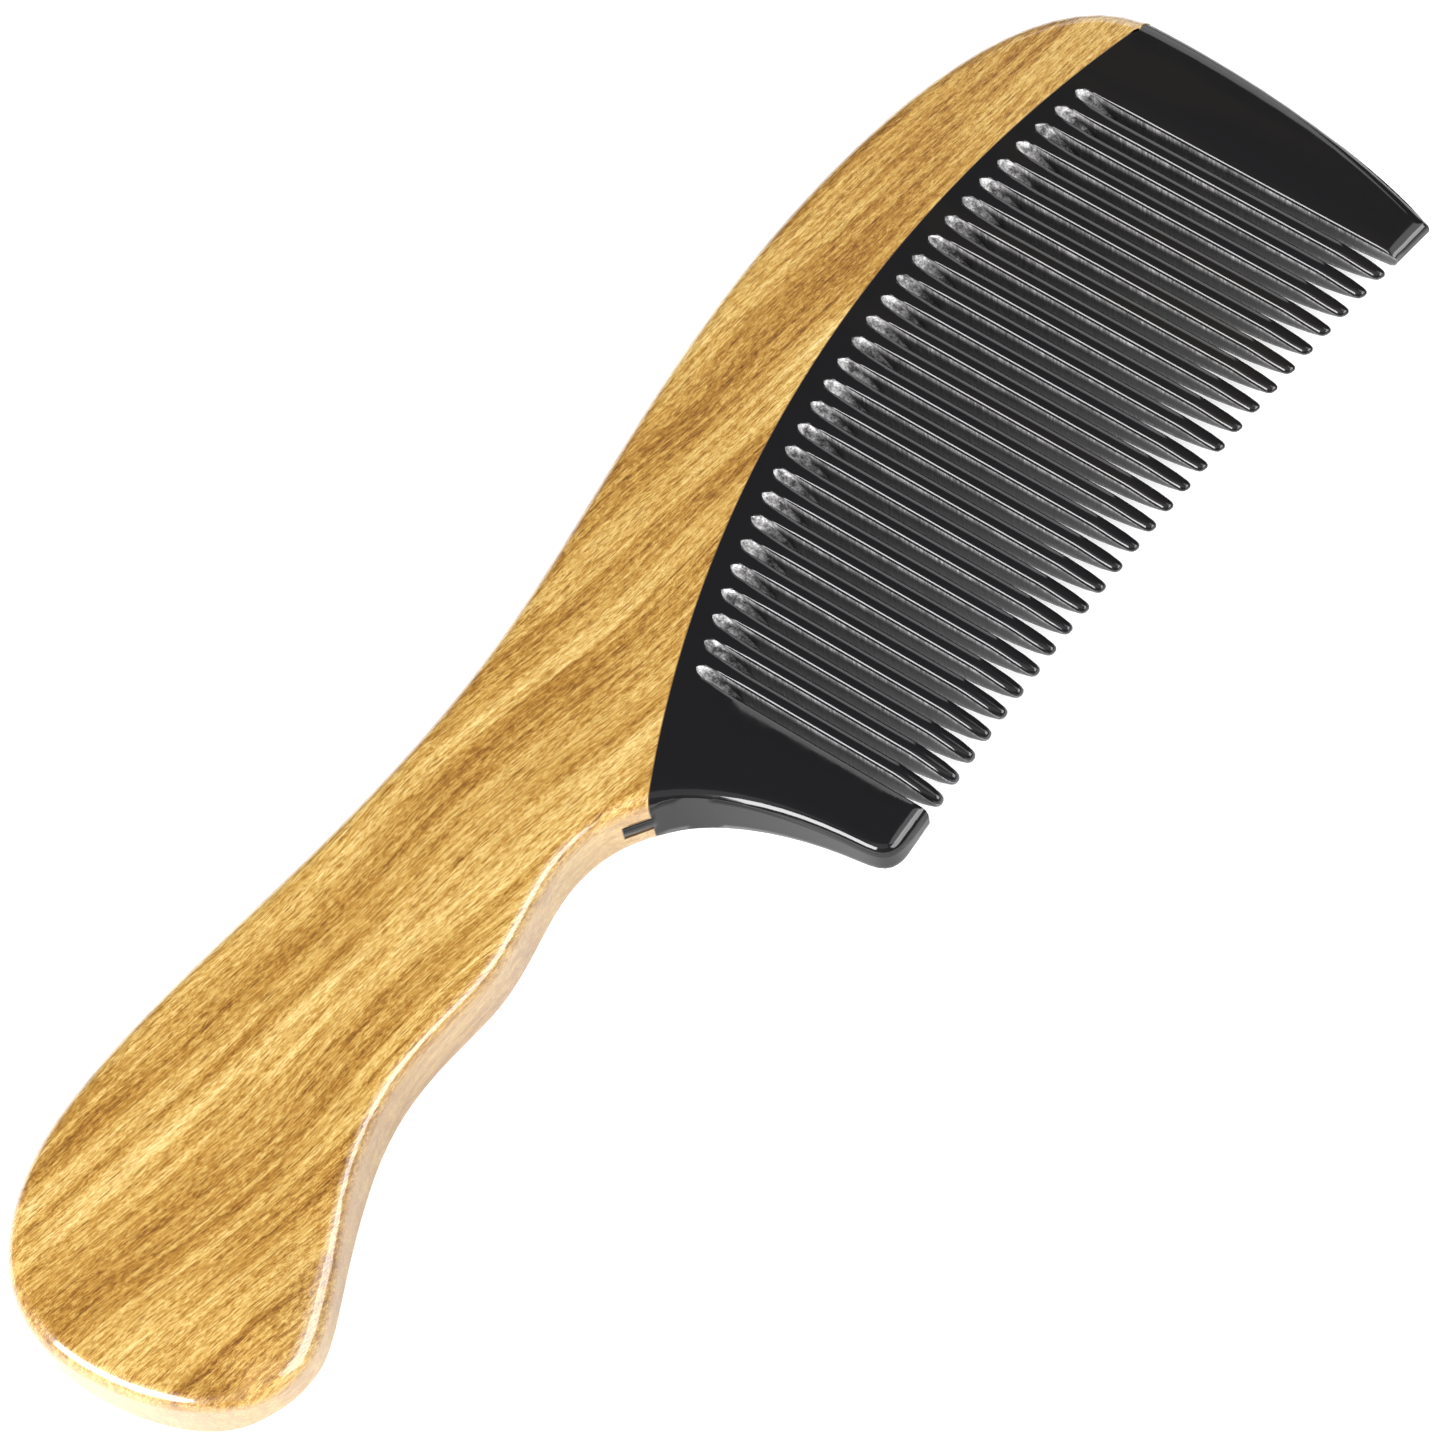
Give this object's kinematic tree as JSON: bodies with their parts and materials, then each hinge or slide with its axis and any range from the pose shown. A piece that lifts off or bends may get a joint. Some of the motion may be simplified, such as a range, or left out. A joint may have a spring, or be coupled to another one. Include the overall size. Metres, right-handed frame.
{
  "type": "handled hair comb",
  "caption": "Flat handled comb: a waisted wooden handle and spine with a tapered, saw-cut horn blade glued into a curved tongue-and-groove joint.",
  "frame": {"origin": "centre of the bounding box of the comb, on the surface that its flat back lies on", "axes": "+X along the comb towards the head, +Y towards the spine (the teeth point to -Y), +Z out of the front face"},
  "size_m": [0.1944, 0.0688, 0.0098],
  "materials": {
    "wood": "lacquered green sandalwood, golden with darker streaks",
    "horn": "polished black horn, sawn walls between the teeth left satin",
    "glue": "dark set glue, a hairline at the joint"
  },
  "bodies": {
    "root": {"wood_handle": "wood", "horn_blade": "horn", "glue_film": "glue"}
  },
  "joints": []
}
